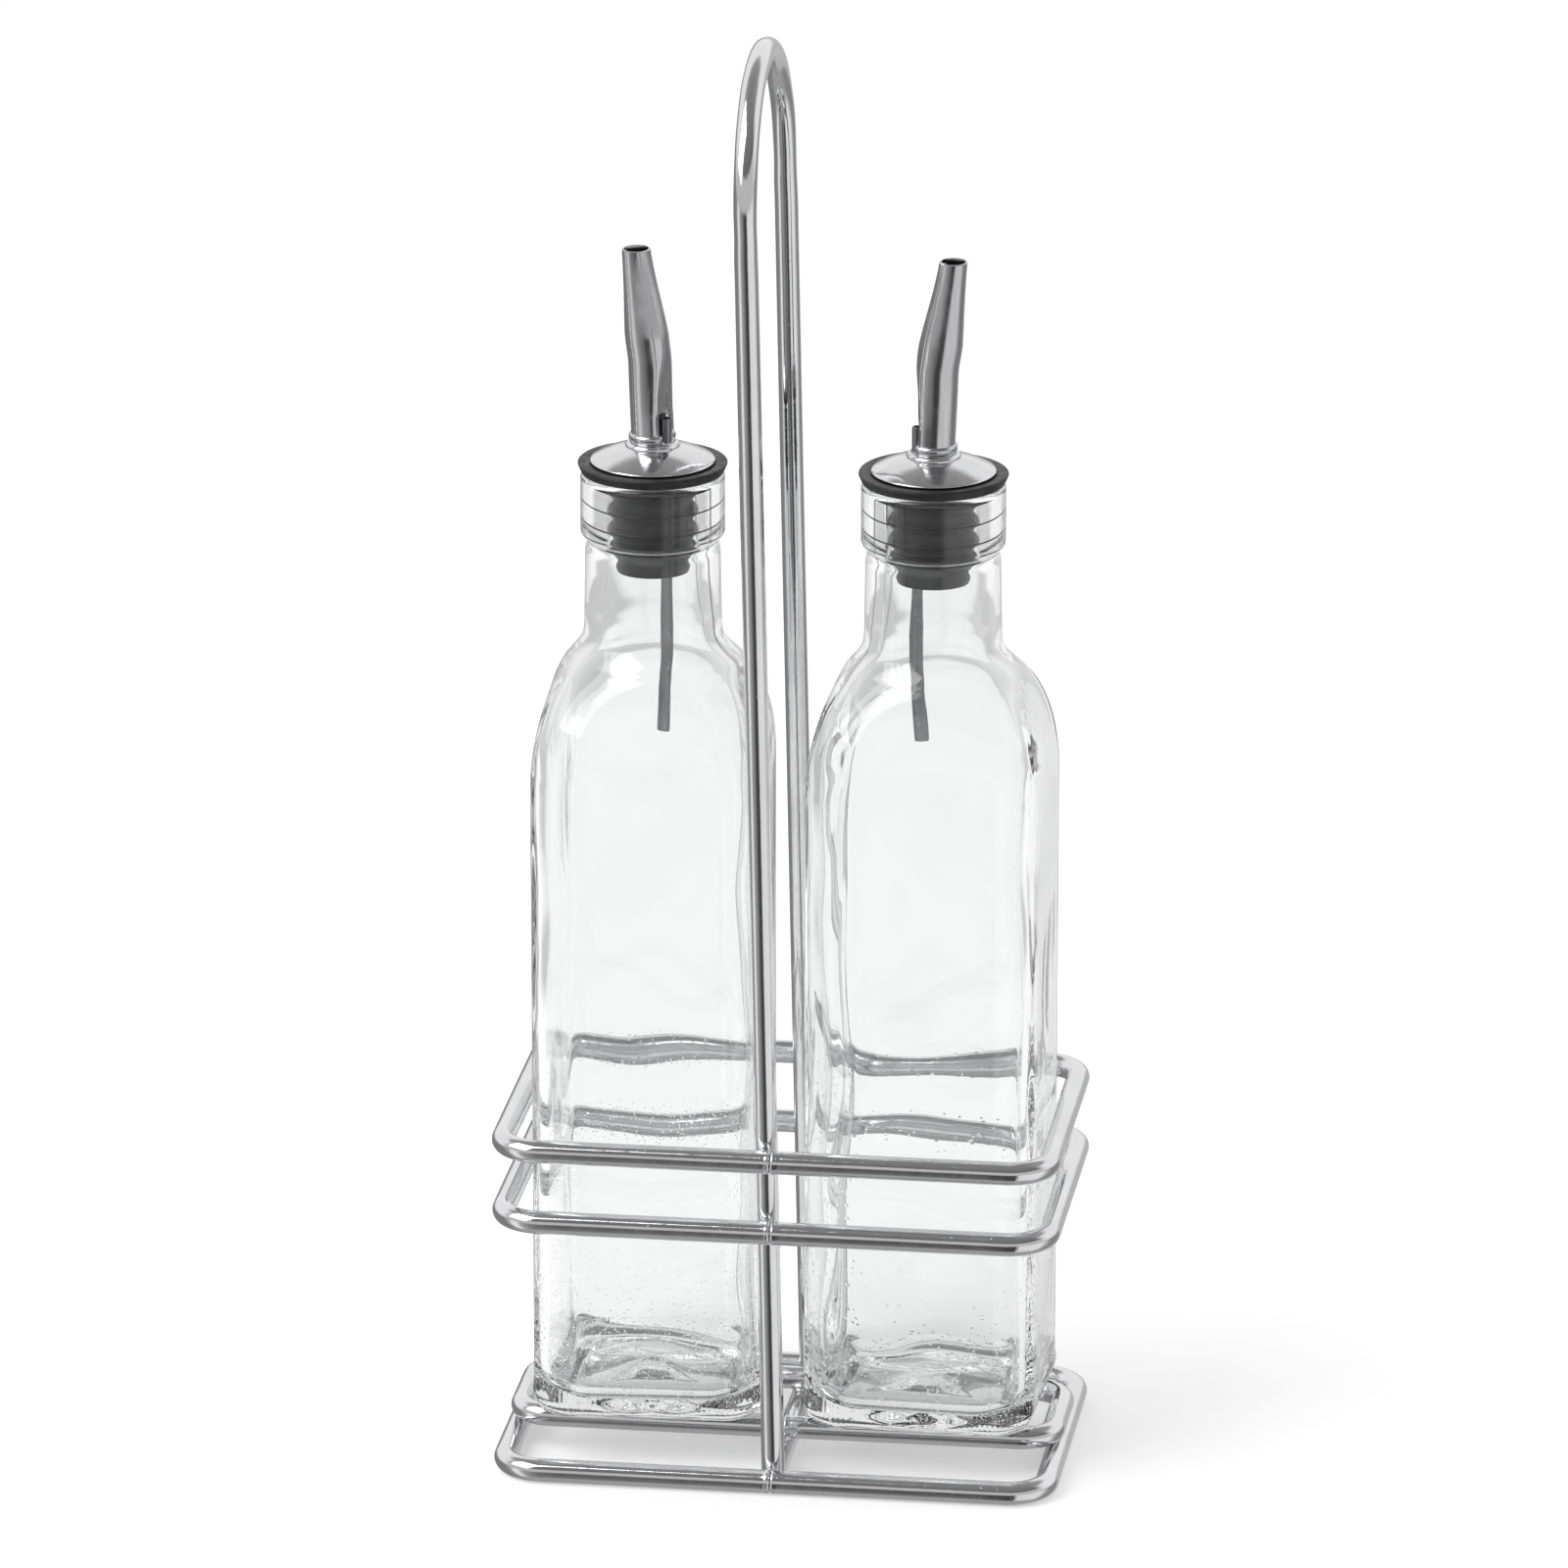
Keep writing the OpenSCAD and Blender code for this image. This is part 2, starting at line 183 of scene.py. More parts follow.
class Nodes:
    """Short names for building a node tree."""

    def __init__(self, name):
        self.material = bpy.data.materials.new(name)
        self.material.use_nodes = True
        self.tree = self.material.node_tree
        self.shader = self.tree.nodes["Principled BSDF"]
        self.position = self.add("ShaderNodeTexCoord").outputs["Object"]

    def add(self, kind, **values):
        node = self.tree.nodes.new(kind)
        for key, value in values.items():
            setattr(node, key, value)
        return node

    def link(self, source, target):
        self.tree.links.new(source, target)

    def mapped(self, scale):
        """Object position, stretched by scale along each axis."""
        node = self.add("ShaderNodeMapping")
        node.inputs["Scale"].default_value = scale
        self.link(self.position, node.inputs["Vector"])
        return node.outputs["Vector"]

    def noise(self, scale, detail, stretch=None):
        """Noise from 0 to 1; stretch is its scale along each axis."""
        node = self.add("ShaderNodeTexNoise")
        node.inputs["Scale"].default_value = scale
        node.inputs["Detail"].default_value = detail
        self.link(self.mapped(stretch) if stretch else self.position, node.inputs["Vector"])
        return node.outputs["Fac"]

    def specks(self, scale, radius):
        """1 inside small round specks scattered at random, 0 elsewhere."""
        node = self.add("ShaderNodeTexVoronoi")
        node.inputs["Scale"].default_value = scale
        self.link(self.position, node.inputs["Vector"])
        return self.span(node.outputs["Distance"], radius, 0.0, 0.0, 1.0)

    def span(self, value, low, high, to_low, to_high):
        """Eases value from the range low..high to the range to_low..to_high."""
        node = self.add("ShaderNodeMapRange", interpolation_type="SMOOTHSTEP")
        numbers = {"From Min": low, "From Max": high, "To Min": to_low, "To Max": to_high}
        for name, number in numbers.items():
            node.inputs[name].default_value = number
        self.link(value, node.inputs["Value"])
        return node.outputs["Result"]

    def math(self, operation, a, b):
        node = self.add("ShaderNodeMath", operation=operation)
        for socket, value in zip(node.inputs, (a, b)):
            if isinstance(value, (int, float)):
                socket.default_value = value
            else:
                self.link(value, socket)
        return node.outputs["Value"]

    def axes(self):
        """The X, Y and Z of the object position."""
        split = self.add("ShaderNodeSeparateXYZ")
        self.link(self.position, split.inputs["Vector"])
        return split.outputs["X"], split.outputs["Y"], split.outputs["Z"]

    def squares(self, a, b):
        """a squared plus b squared."""
        return self.math("ADD", self.math("MULTIPLY", a, a), self.math("MULTIPLY", b, b))

    def blend(self, factor, dark, light):
        node = self.add("ShaderNodeMix", data_type="RGBA")
        node.inputs["A"].default_value = (*dark, 1)
        node.inputs["B"].default_value = (*light, 1)
        self.link(factor, node.inputs["Factor"])
        return node.outputs["Result"]

    def bump(self, layers):
        """Stacks bump layers, each (height, depth in metres)."""
        normal = None
        for height, depth in layers:
            node = self.add("ShaderNodeBump")
            node.inputs["Distance"].default_value = depth
            self.link(height, node.inputs["Height"])
            if normal is not None:
                self.link(normal, node.inputs["Normal"])
            normal = node.outputs["Normal"]
        self.link(normal, self.shader.inputs["Normal"])

    def color(self, factor, dark, light):
        """Base colour that goes from dark to light with factor."""
        self.link(self.blend(factor, dark, light), self.shader.inputs["Base Color"])

    def roughness(self, value, low, high, to_low, to_high):
        self.link(self.span(value, low, high, to_low, to_high), self.shader.inputs["Roughness"])

    def set(self, **values):
        for name, value in values.items():
            self.shader.inputs[name.replace("_", " ")].default_value = value


def chrome_material():
    """Bright nickel-chrome plate over drawn wire: clouded mirror, faint waves, grain and pits."""
    n = Nodes("chrome_wire")
    n.set(Metallic=1.0)
    n.color(n.noise(90, 4), (0.66, 0.66, 0.67), (0.80, 0.80, 0.81))
    n.roughness(n.noise(240, 5), 0.35, 0.75, 0.05, 0.13)
    waves, grain, pits = n.noise(160, 2), n.noise(1500, 3), n.specks(620, 0.10)
    n.bump([(waves, 0.06 * MM), (grain, 0.008 * MM), (pits, -0.03 * MM)])
    return n.material


def polished_steel_material():
    """Pressed and buffed stainless steel: near mirror, with fine level buffing marks and pits."""
    n = Nodes("polished_steel")
    n.set(Metallic=1.0)
    n.color(n.noise(260, 4), (0.62, 0.62, 0.63), (0.76, 0.76, 0.77))
    n.roughness(n.noise(900, 4), 0.3, 0.8, 0.06, 0.17)
    waves, marks, pits = n.noise(300, 2), n.noise(2600, 3, (1, 1, 5)), n.specks(900, 0.08)
    n.bump([(waves, 0.03 * MM), (marks, 0.004 * MM), (pits, -0.02 * MM)])
    return n.material


def satin_steel_material():
    """Drawn stainless tube: satin, with draw lines along its length, soft waves and pits."""
    n = Nodes("satin_steel")
    n.set(Metallic=1.0)
    lines = n.noise(1400, 4, (1, 1, 0.03))
    n.color(lines, (0.42, 0.42, 0.43), (0.66, 0.66, 0.67))
    n.roughness(n.noise(320, 5), 0.3, 0.75, 0.14, 0.24)
    waves, pits = n.noise(420, 2), n.specks(800, 0.07)
    n.bump([(lines, 0.008 * MM), (waves, 0.012 * MM), (pits, -0.02 * MM)])
    return n.material


def tube_material():
    """Dull drawn steel tube with a lengthwise grain and uneven sheen."""
    n = Nodes("dull_steel")
    n.set(Metallic=1.0)
    lines = n.noise(1600, 4, (1, 1, 0.04))
    n.color(lines, (0.16, 0.16, 0.165), (0.34, 0.34, 0.35))
    n.roughness(n.noise(500, 4), 0.3, 0.75, 0.26, 0.42)
    n.bump([(lines, 0.015 * MM), (n.noise(700, 3), 0.02 * MM)])
    return n.material


def rubber_material():
    """Moulded dark grey rubber with a fine skin, cloudy bloom and a little dust."""
    n = Nodes("stopper_rubber")
    n.set(IOR=1.5, Specular_IOR_Level=0.45)
    dust = n.specks(1500, 0.16)
    bloom = n.span(n.noise(220, 5), 0.35, 0.75, 0.0, 0.5)
    pale = n.math("ADD", bloom, n.math("MULTIPLY", dust, 0.4))
    n.color(pale, (0.009, 0.009, 0.010), (0.034, 0.034, 0.036))
    n.roughness(n.noise(600, 4), 0.3, 0.8, 0.36, 0.54)
    n.bump([(n.noise(1800, 4), 0.03 * MM), (dust, 0.02 * MM)])
    return n.material


def glass_material(side, droplets):
    """Flint bottle glass: wavy walls, knurling at the heel's corners, more droplets lower down."""
    n = Nodes("clear_glass_" + side)
    n.set(Transmission_Weight=1.0, IOR=1.51, Base_Color=(0.905, 0.909, 0.908, 1))
    n.roughness(n.noise(70, 4), 0.45, 0.8, 0.0, 0.035)
    foot_z = BOTTLE_LOW_Z[side]
    middle_z = foot_z + 0.5 * BOTTLE_H
    x, y, z = n.axes()
    near_foot = n.span(z, foot_z + 11 * MM, foot_z + 6.0 * MM, 0.0, 1.0)
    knurl = n.add("ShaderNodeTexWave", wave_type="BANDS", bands_direction="X")
    knurl.inputs["Scale"].default_value = 300
    n.link(n.position, knurl.inputs["Vector"])
    off_axis = n.squares(n.math("SUBTRACT", x, AXIS_X[side]), y)
    near_corner = n.span(off_axis, (23 * MM) ** 2, (27 * MM) ** 2, 0.0, 1.0)
    where = n.math("MULTIPLY", near_foot, near_corner)
    ridges = n.math("MULTIPLY", knurl.outputs["Fac"], where)
    wet = n.span(z, middle_z, foot_z + 8 * MM, 0.0, 1.0)
    drops = n.math("MULTIPLY", n.specks(droplets, 0.22), wet)
    waves, fine_waves = n.noise(30, 1), n.noise(110, 1)
    n.bump([(waves, 0.3 * MM), (fine_waves, 0.03 * MM), (ridges, 0.02 * MM), (drops, 0.08 * MM)])
    return n.material


# ---------- wire rack ----------

UP = np.array([0, 0, 1.0])
WIRE_AROUND = 40
WIRE_UNEVEN = 0.02 * MM
ANY_PHASE = 6.28  # about a full turn
STRAIGHT_STEPS = 14
SEAM_STEPS = [(0, 2.4 * MM, 0.1 * MM)]  # fine steps by the butt weld in the middle of a front rail
FAR_FROM_SEAM = 1.0  # metres, for the parts of a ring that the weld does not reach


def stretch(start, end, fine):
    """Distances along a straight run, closer together round the (place, reach, step) in fine."""
    marks = set(np.linspace(start, end, STRAIGHT_STEPS))
    for centre, reach, step in fine:
        count = int(reach / step)
        marks.update(centre + k * step for k in range(-count, count + 1))
    return sorted(m for m in marks if start <= m <= end)


def ring_path(w, d, bend):
    """Centre line of a rectangular ring from the middle of its front rail, where its seam is.

    Also gives each point's distance from the seam, along the front rail.
    """
    points, seam = [], []
    half_w, half_d = w / 2, d / 2
    front = stretch(0, half_w - bend, SEAM_STEPS)
    side_ends = [(half_w, half_d - bend), (bend - half_w, half_d), (-half_w, bend - half_d)]
    for x in front:
        points.append((x, -half_d))
        seam.append(x)
    for quarter, (cx, cy) in enumerate(((1, -1), (1, 1), (-1, 1), (-1, -1))):
        centre = (cx * (half_w - bend), cy * (half_d - bend))
        for a in np.linspace(-90, 0, 19)[1:]:
            angle = math.radians(a + 90 * quarter)
            points.append((centre[0] + bend * math.cos(angle), centre[1] + bend * math.sin(angle)))
            seam.append(FAR_FROM_SEAM)
        if quarter < len(side_ends):
            x, y = points[-1]
            end_x, end_y = side_ends[quarter]
            for k in range(1, STRAIGHT_STEPS):
                t = k / STRAIGHT_STEPS
                points.append((x + (end_x - x) * t, y + (end_y - y) * t))
                seam.append(FAR_FROM_SEAM)
    for x in reversed(front[1:-1]):
        points.append((-x, -half_d))
        seam.append(x)
    return np.array(points), np.array(seam)


def wire_rows(path, normal, radii, closed):
    """Rows of points round a centre line that lies in one plane with the given normal."""
    if closed:
        tangent = np.roll(path, -1, axis=0) - np.roll(path, 1, axis=0)
    else:
        tangent = np.gradient(path, axis=0)
    tangent /= np.linalg.norm(tangent, axis=1)[:, None]
    angles = np.linspace(0, 2 * math.pi, WIRE_AROUND, endpoint=False)
    cos, sin = np.cos(angles)[:, None], np.sin(angles)[:, None]
    return [centre + radius * (cos * across + sin * normal)
            for centre, across, radius in zip(path, np.cross(tangent, normal), radii)]


def weld_profile(distance):
    """How much a butt weld raises the wire's surface: a burr on each side of a fine notch."""
    burr = 0.09 * MM * np.exp(-((distance - 0.62 * MM) / (0.40 * MM)) ** 2)
    notch = -0.34 * MM * np.exp(-(distance / (0.20 * MM)) ** 2)
    return burr + notch


def ripple(count, seed, amount):
    """A slow unevenness along a wire of count points."""
    rng = np.random.default_rng(seed)
    t = np.linspace(0, 2 * math.pi, count, endpoint=False)
    return sum(amount / k ** 0.5 * np.sin(k * t + rng.uniform(0, ANY_PHASE))
               for k in (3, 5, 8, 13)) / 2


def make_ring(node, bend, chrome, seed):
    """Closed rectangular ring, a little out of flat, with a butt weld in its front rail."""
    low, high = corners(node)
    width, depth = (high - low)[:2]
    path, seam = ring_path(width - 2 * WIRE_R, depth - 2 * WIRE_R, bend)
    count = len(path)
    middle_z = np.full(count, (low[2] + high[2]) / 2)
    points = np.column_stack([path, middle_z + ripple(count, seed, 0.05 * MM)])
    radii = WIRE_R + weld_profile(seam) + ripple(count, seed + 50, WIRE_UNEVEN)
    verts, faces = skin(wire_rows(points, UP, radii, True), wrap=True)
    return mesh_object(node + "_wire", verts, faces, chrome, "rack", [node])


def lean(points):
    """Tips points over by the handle's lean, about the Y axis at the table."""
    c, s = math.cos(LEAN), math.sin(LEAN)
    x, y, z = points.T
    return np.stack([x * c - z * s, y, x * s + z * c], axis=1)


def make_handle(chrome):
    """Hairpin handle: front leg, half-round arch, back leg, all leaning a little to the left."""
    arch_z = HANDLE_HIGH[2] / math.cos(LEAN) - WIRE_R - LEG_Y
    foot = 0.3 * MM
    legs = np.array(stretch(foot, arch_z, [(arch_z - 2 * MM, 8 * MM, 1 * MM)]))
    front = np.stack([legs * 0, legs * 0 - LEG_Y, legs], axis=1)
    angles = np.linspace(0, math.pi, 49)[1:-1]
    arch = np.stack([angles * 0, -LEG_Y * np.cos(angles), arch_z + LEG_Y * np.sin(angles)], axis=1)
    back = np.stack([legs * 0, legs * 0 + LEG_Y, legs], axis=1)[::-1]
    path = np.concatenate([front, arch, back])
    count = len(path)
    path[:, 0] += ripple(count, 5, 0.10 * MM) * smoothstep((path[:, 2] - 80 * MM) / (60 * MM))
    radii = np.full(count, WIRE_R) + ripple(count, 9, WIRE_UNEVEN)
    for side in (-1, 1):
        bend_start = np.array([0, side * LEG_Y, arch_z])
        gap = np.linalg.norm(path - bend_start, axis=1)
        radii -= 0.10 * MM * np.exp(-(gap / (5 * MM)) ** 2)
    path = lean(path)
    rows = wire_rows(path, np.array([math.cos(LEAN), 0, math.sin(LEAN)]), radii, False)
    cut_edge = (0.82, 0.95)
    first = [path[0] + (rows[0] - path[0]) * k for k in cut_edge]
    last = [path[-1] + (rows[-1] - path[-1]) * k for k in reversed(cut_edge)]
    bulge = np.array([0, 0, -0.15 * MM])
    first[0] = first[0] + bulge
    last[-1] = last[-1] + bulge
    verts, faces = skin(first + rows + last, start_pole=path[0] + bulge, end_pole=path[-1] + bulge)
    return mesh_object("carry_handle_wire", verts, faces, chrome, "rack",
                       ["carry_handle"])


def make_cross_bar(chrome):
    """Straight bar under the shelf loop, from leg to leg."""
    low, high = corners("cross_bar")
    count = 40
    ys = np.linspace(low[1], high[1], count)
    path = np.stack([ys * 0, ys, ys * 0 + (low[2] + high[2]) / 2], axis=1)
    rows = wire_rows(path, UP, WIRE_R + ripple(count, 3, WIRE_UNEVEN), False)
    verts, faces = skin(rows, start_pole=path[0], end_pole=path[-1])
    return mesh_object("cross_bar_wire", verts, faces, chrome, "rack", ["cross_bar"])


def weld_bead(centre, size, rng):
    """A lumpy weld fillet that reaches about size (x, y, z) from its middle."""
    rows = []
    count = 24
    angles = np.linspace(0, 2 * math.pi, count, endpoint=False)
    phase = rng.uniform(0, ANY_PHASE, 4)
    for polar in np.linspace(0, math.pi, 13)[1:-1]:
        lump = 1 + 0.07 * np.sin(3 * angles + phase[0] + 2 * polar)
        lump += 0.05 * np.sin(5 * angles + phase[1])
        ring = np.stack([np.cos(angles) * math.sin(polar), np.sin(angles) * math.sin(polar),
                         np.full(count, math.cos(polar))], axis=1)
        rows.append(centre + ring * lump[:, None] * size)
    poles = [centre + np.array([0, 0, s * size[2]]) for s in (1, -1)]
    verts, faces = skin(rows, start_pole=poles[0], end_pole=poles[1])
    return verts, [face[::-1] for face in faces]


def make_welds(chrome):
    """Fillets where wires touch: legs to rings, bar to legs, shelf loop to what it lies on."""
    rng = random.Random(4)
    bead_rng = np.random.default_rng(4)
    beads = []

    def add(x, y, z, size):
        beads.append(weld_bead(np.array([x, y, z]), np.array(size) * MM, bead_rng))

    rings = ("base_ring", "lower_guard_ring", "upper_guard_ring")
    ring_z = {node: sum(corner[2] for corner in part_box(node)) / 2 for node in rings}
    low, high = corners("shelf_ring")
    joint_z = (ring_z["base_ring"] + (low[2] + high[2]) / 2) / 2
    rail_x, rail_y = high[0] - WIRE_R, high[1] - WIRE_R
    for side in (-1, 1):
        for z in ring_z.values():
            for x_side in (-1, 1):
                x = -math.sin(LEAN) * z + x_side * rng.uniform(0.9, 1.2) * MM
                size = np.array([1.15, 1.0, 1.3]) * rng.uniform(0.9, 1.1)
                add(x, side * (LEG_Y + WIRE_R), z, size)
        add(0, side * rail_y, joint_z, (1.9, 1.9, 0.9))
        add(0, side * (LEG_Y - WIRE_R), joint_z - 0.4 * MM, (1.6, 1.2, 1.2))
        for end in (-1, 1):
            add(end * (rail_x + 0.3 * MM), side * (rail_y - SHELF_BEND), joint_z, (1.3, 2.2, 0.9))
    verts, faces = join(beads)
    return mesh_object("weld_fillets", verts, faces, chrome, "rack", ["weld_beads"])


# ---------- bottles ----------

AROUND = 240
THETA = np.linspace(0, 2 * math.pi, AROUND, endpoint=False)
WALL = 3.2 * MM
BASE_T = 3.6 * MM
HEEL_R = 4.5 * MM
EDGE_R = 8.4 * MM
INNER_HEEL_R = 6 * MM
INNER_EDGE_R = 6 * MM
SHOULDER_Z = BOTTLE_H - 63 * MM
SHOULDER_R = 56 * MM
CORNER_REACH = (BOTTLE_HALF - EDGE_R) * math.sqrt(2) + EDGE_R
CORNER_Z = SHOULDER_Z + 3 * MM
CORNER_R = 26 * MM
CORNER_BLEND = 3.5 * MM
PUNT_H = 2.5 * MM
FLOOR_BUMP_H = 2.4 * MM
NECK_R = 13.5 * MM
NECK_BLEND_Z = SHOULDER_Z + 12 * MM  # the neck's shape counts from here up
FLARE_R = 5.5 * MM
FLARE_Z = SHOULDER_Z + 25.8 * MM + FLARE_R * math.sin(math.radians(60))
BORE_R = 10 * MM
MOUTH_R = 9.2 * MM
MOUTH_BORE_H = 22 * MM
BORE_TOP_Z = BOTTLE_H - MOUTH_BORE_H + 1.5 * MM
BAND_R = 14.4 * MM
BAND_Z = BOTTLE_H - 13.5 * MM
BAND_FOOT_R = 1.8 * MM
LIP_R = 1.2 * MM
LIP_Z = BOTTLE_H - LIP_R

# Waves of the inner wall: how many there are round the bottle, length and height of each in mm.
BLOWN_WAVES = ((2, 62, 0.30), (3, 41, 0.22), (4, 88, 0.34), (5, 29, 0.10))


def circle(radius):
    return np.full(AROUND, radius)


def square_radius(half, corner):
    """Distance from the axis to a rounded square, for each direction in THETA."""
    folded = np.abs((THETA + math.pi / 4) % (math.pi / 2) - math.pi / 4)
    flat = half / np.cos(folded)
    reach = (half - corner) * math.sqrt(2)
    off = math.pi / 4 - folded
    root = np.sqrt(np.maximum(corner ** 2 - (reach * np.sin(off)) ** 2, 0))
    curved = reach * np.cos(off) + root
    return np.where(half * np.tan(folded) <= half - corner, flat, curved)


def body_radius(z, inset, corner):
    """Section of the bottle's body at height z, inset below its outer surface."""
    rise = max(z - SHOULDER_Z, 0)
    arc_r = SHOULDER_R - inset
    half = BOTTLE_HALF - inset - arc_r + math.sqrt(max(arc_r ** 2 - rise ** 2, 1e-10))
    corner_rise = max(z - CORNER_Z, 0)
    corner_arc = CORNER_R - inset
    reach = CORNER_REACH - inset - corner_arc
    reach += math.sqrt(max(corner_arc ** 2 - corner_rise ** 2, 1e-10))
    half = max(half, 0.5 * MM)
    section = square_radius(half, min(corner, half * 0.98))
    return soft_min(section, circle(max(reach, 0.5 * MM)), CORNER_BLEND)


def neck_radius(z):
    """Outside of the neck, drawn in a little under the mouth's band."""
    taper = 0.25 * MM * smoothstep((BAND_Z - z) / (22 * MM))
    tuck = 0.45 * MM * math.exp(-((z - BAND_Z + 0.6 * MM) / (1.1 * MM)) ** 2)
    below = min(max(FLARE_Z - z, 0), FLARE_R * 0.93)
    return NECK_R + taper - tuck + FLARE_R - math.sqrt(FLARE_R ** 2 - below ** 2)


def shoulder_radius(z):
    """Body below, neck above, blended where they meet."""
    body = body_radius(z, 0, EDGE_R)
    return soft_max(body, circle(neck_radius(z)), 2.0 * MM) if z > NECK_BLEND_Z else body


def band_radius(z):
    """Band round the mouth, with a fillet at its foot and at its lip."""
    below = max(BAND_Z + BAND_FOOT_R - z, 0)
    above = max(z - LIP_Z, 0)
    band = BAND_R
    band -= BAND_FOOT_R - math.sqrt(max(BAND_FOOT_R ** 2 - below ** 2, 0))
    band -= LIP_R - math.sqrt(max(LIP_R ** 2 - above ** 2, 0))
    return max(band, NECK_R - 0.5 * MM) if below > 0 else band


def outer_radius(z):
    """Outside of the bottle at height z; averaged over a short height where shoulder meets neck."""
    if z > BAND_Z:
        return circle(band_radius(z))
    spread = smoothstep((z - NECK_BLEND_Z) / (8 * MM))
    spread *= smoothstep((BAND_Z - 6 * MM - z) / (8 * MM))
    if spread == 0:
        return shoulder_radius(z)
    step = 3.2 * MM * spread / 5
    return sum(shoulder_radius(z + step * k) * (6 - abs(k)) for k in range(-5, 6)) / 36


def wall_waves(z, phases):
    """How far the inner wall strays from true where the glass was blown."""
    waves = 0
    for (turns, length, amount), phase in zip(BLOWN_WAVES, phases):
        along = math.sin(2 * math.pi * z / (length * MM) + 2 * phase)
        waves = waves + amount * MM * np.sin(turns * THETA + phase) * along
    below_neck = smoothstep((SHOULDER_Z + 22 * MM - z) / (40 * MM))
    return waves * below_neck * smoothstep((z - BASE_T) / (14 * MM))


def inner_row(z, phases):
    """Section of the inner surface.

    It keeps the body's form below, runs parallel to the outside over the shoulder and is a round
    bore in the neck.
    """
    step = 0.25 * MM
    slope = (outer_radius(z + step) - outer_radius(z - step)) / (2 * step)
    length = np.sqrt(1 + slope ** 2)
    wall = WALL + 0.3 * MM * smoothstep((z - FLARE_Z + 8 * MM) / (10 * MM))
    parallel = outer_radius(z) - wall / length
    drop = wall * slope / length
    body = body_radius(z, WALL, INNER_EDGE_R)
    over = smoothstep((z - SHOULDER_Z - 2 * MM) / (8 * MM))
    radius = body * (1 - over) + parallel * over
    neck = smoothstep((z - FLARE_Z) / (5 * MM))
    bore = MOUTH_R + (BORE_R - MOUTH_R) * smoothstep((BORE_TOP_Z - z) / (12 * MM))
    radius = radius * (1 - neck) + bore * neck
    return ring_of(radius + wall_waves(z, phases), z + drop * over * (1 - neck))


def ring_of(radius, z):
    """Points all round the axis at the given radius and height."""
    z = np.broadcast_to(z, THETA.shape)
    return np.stack([radius * np.cos(THETA), radius * np.sin(THETA), z], axis=1)


def outside_rows():
    """Rows from the middle of the underside, up the outside to the top of the lip."""
    rows = []
    flat = square_radius(BOTTLE_HALF - HEEL_R, EDGE_R - HEEL_R)
    for u in np.linspace(0.04, 1, 26):
        push = 0.25 * MM * math.exp(-((u - 0.12) / 0.05) ** 2)
        rows.append(ring_of(flat * u, PUNT_H * (1 - smoothstep(u / 0.93)) + push))
    for a in np.linspace(0, math.pi / 2, 11)[1:]:
        out = HEEL_R * math.sin(a)
        section = square_radius(BOTTLE_HALF - HEEL_R + out, EDGE_R - HEEL_R + out)
        rows.append(ring_of(section, HEEL_R * (1 - math.cos(a))))
    walls = list(np.linspace(HEEL_R, SHOULDER_Z, 60)[1:])
    walls += list(np.linspace(SHOULDER_Z, BAND_Z, 110)[1:])
    walls += [BAND_Z + BAND_FOOT_R * (1 - math.cos(a)) for a in np.linspace(0, math.pi / 2, 9)[1:]]
    walls += list(np.linspace(BAND_Z + BAND_FOOT_R, LIP_Z, 12)[1:])
    walls += [LIP_Z + LIP_R * math.sin(a) for a in np.linspace(0, math.pi / 2, 8)[1:]]
    return rows + [ring_of(outer_radius(z), z) for z in walls]


def inside_rows(phases):
    """Rows from the top of the lip, down the bore and the inner wall to the middle of the floor."""
    mouth = ((12.4, 0.0), (11.2, 0.02), (10.2, 0.0), (9.65, -0.12), (9.3, -0.45), (9.2, -1.0))
    rows = [ring_of(circle(radius * MM), BOTTLE_H + drop * MM) for radius, drop in mouth]
    rows += [ring_of(circle(MOUTH_R), z) for z in np.linspace(BOTTLE_H - 2 * MM, BORE_TOP_Z, 14)]
    walls = list(np.linspace(BORE_TOP_Z, SHOULDER_Z, 88)[1:])
    walls += list(np.linspace(SHOULDER_Z, BASE_T + INNER_HEEL_R, 60)[1:])
    rows += [inner_row(z, phases) for z in walls]
    for a in np.linspace(math.pi / 2, 0, 12)[1:]:
        out = INNER_HEEL_R * (1 - math.sin(a))
        corner = max(INNER_EDGE_R - 0.6 * out, 1.0 * MM)
        section = square_radius(BOTTLE_HALF - WALL - out, corner)
        section = soft_min(section, circle(CORNER_REACH - WALL - out), CORNER_BLEND)
        rows.append(ring_of(section, BASE_T + INNER_HEEL_R * (1 - math.cos(a))))
    rim = np.hypot(rows[-1][:, 0], rows[-1][:, 1])
    for u in np.linspace(1, 0.04, 24)[1:]:
        uneven = 0.25 * MM * u * (1 - u) * np.sin(2 * THETA + phases[0]) * 4
        rows.append(ring_of(rim * u, BASE_T + FLOOR_BUMP_H * (1 - smoothstep(u)) + uneven))
    return rows


def make_bottle(side, seed, glass):
    phases = np.random.default_rng(seed).uniform(0, 2 * math.pi, 4)
    verts, faces = skin(outside_rows() + inside_rows(phases), start_pole=(0, 0, PUNT_H),
                        end_pole=(0, 0, BASE_T + FLOOR_BUMP_H))
    verts = place(verts, AXIS_X[side], BOTTLE_LOW_Z[side], BOTTLE_TURN[side])
    return mesh_object("bottle_glass_" + side, verts, faces, glass, "bottle_" + side,
                       ["bottle_" + side])


# ---------- pourers: the bottle's mouth is at z = 0 and the air tube towards +X ----------

